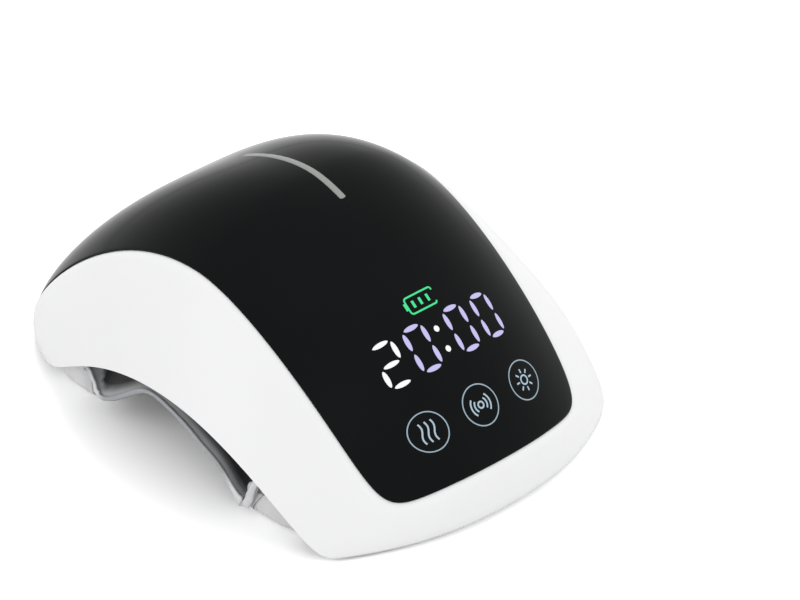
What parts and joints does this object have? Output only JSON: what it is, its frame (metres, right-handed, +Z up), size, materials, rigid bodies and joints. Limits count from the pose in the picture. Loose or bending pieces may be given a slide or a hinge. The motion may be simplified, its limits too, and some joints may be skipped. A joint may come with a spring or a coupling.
{
  "type": "knee massager",
  "caption": "Knee massager: arched white shell with a glossy black touch panel and lit timer, over a fabric-lined knee hollow with foot cushions.",
  "frame": {"origin": "on the floor under the middle of the shell", "axes": "+Z up, +Y from the display end to the back, +X across the shell, to the right of someone who reads the display"},
  "size_m": [0.15, 0.2039, 0.0903],
  "materials": {
    "white_gloss": "gloss",
    "black_gloss": "high gloss",
    "light_guide": "satin",
    "board_green": "satin",
    "led_block": "matte",
    "foam_dark": "matte",
    "chip_black": "matte",
    "foil": "satin",
    "grey_plastic": "matte",
    "steel": "satin",
    "weight_metal": "satin",
    "heater": "satin",
    "white_board": "satin",
    "led_red": "gloss",
    "lens_red": "gloss",
    "pad_grey": "matte",
    "liner_fabric": "soft",
    "cushion_fabric": "soft",
    "tape_fabric": "woven",
    "lead_red": "satin"
  },
  "bodies": {
    "massager": {"outer_shell": "white_gloss", "touch_panel": "black_gloss", "light_strip": "light_guide", "strip_board": "board_green", "display_board": "board_green", "led_display": "led_block", "touch_foams": "foam_dark", "main_board": "board_green", "board_parts": "chip_black", "buzzer": "chip_black", "battery_cells": "foil", "battery_tray": "grey_plastic", "charging_port": "steel", "charging_board": "board_green", "inner_cover": "grey_plastic", "cover_bosses": "white_gloss", "board_posts": "grey_plastic", "board_screws": "steel", "cover_screws": "steel", "motor_left": "steel", "motor_right": "steel", "motor_clamps": "grey_plastic", "heating_film": "heater", "heat_fuse": "white_board", "light_board": "white_board", "red_leds": "led_red", "light_lens": "lens_red", "knee_pad": "pad_grey", "fabric_liner": "liner_fabric", "front_cushion": "cushion_fabric", "rear_cushion": "cushion_fabric", "front_binding": "tape_fabric", "rear_binding": "tape_fabric", "battery_leads": "lead_red", "display_ribbon": "heater"},
    "rotor_left": {"weight_left": "weight_metal"},
    "rotor_right": {"weight_right": "weight_metal"}
  },
  "joints": [
    {"name": "left_motor_turn", "type": "hinge", "parent": "massager", "child": "rotor_left", "pos_m": [-0.037, 0.004, 0.06614], "axis": [0, 1, 0], "continuous": true},
    {"name": "right_motor_turn", "type": "hinge", "parent": "massager", "child": "rotor_right", "pos_m": [0.037, 0.004, 0.06614], "axis": [0, 1, 0], "continuous": true}
  ]
}
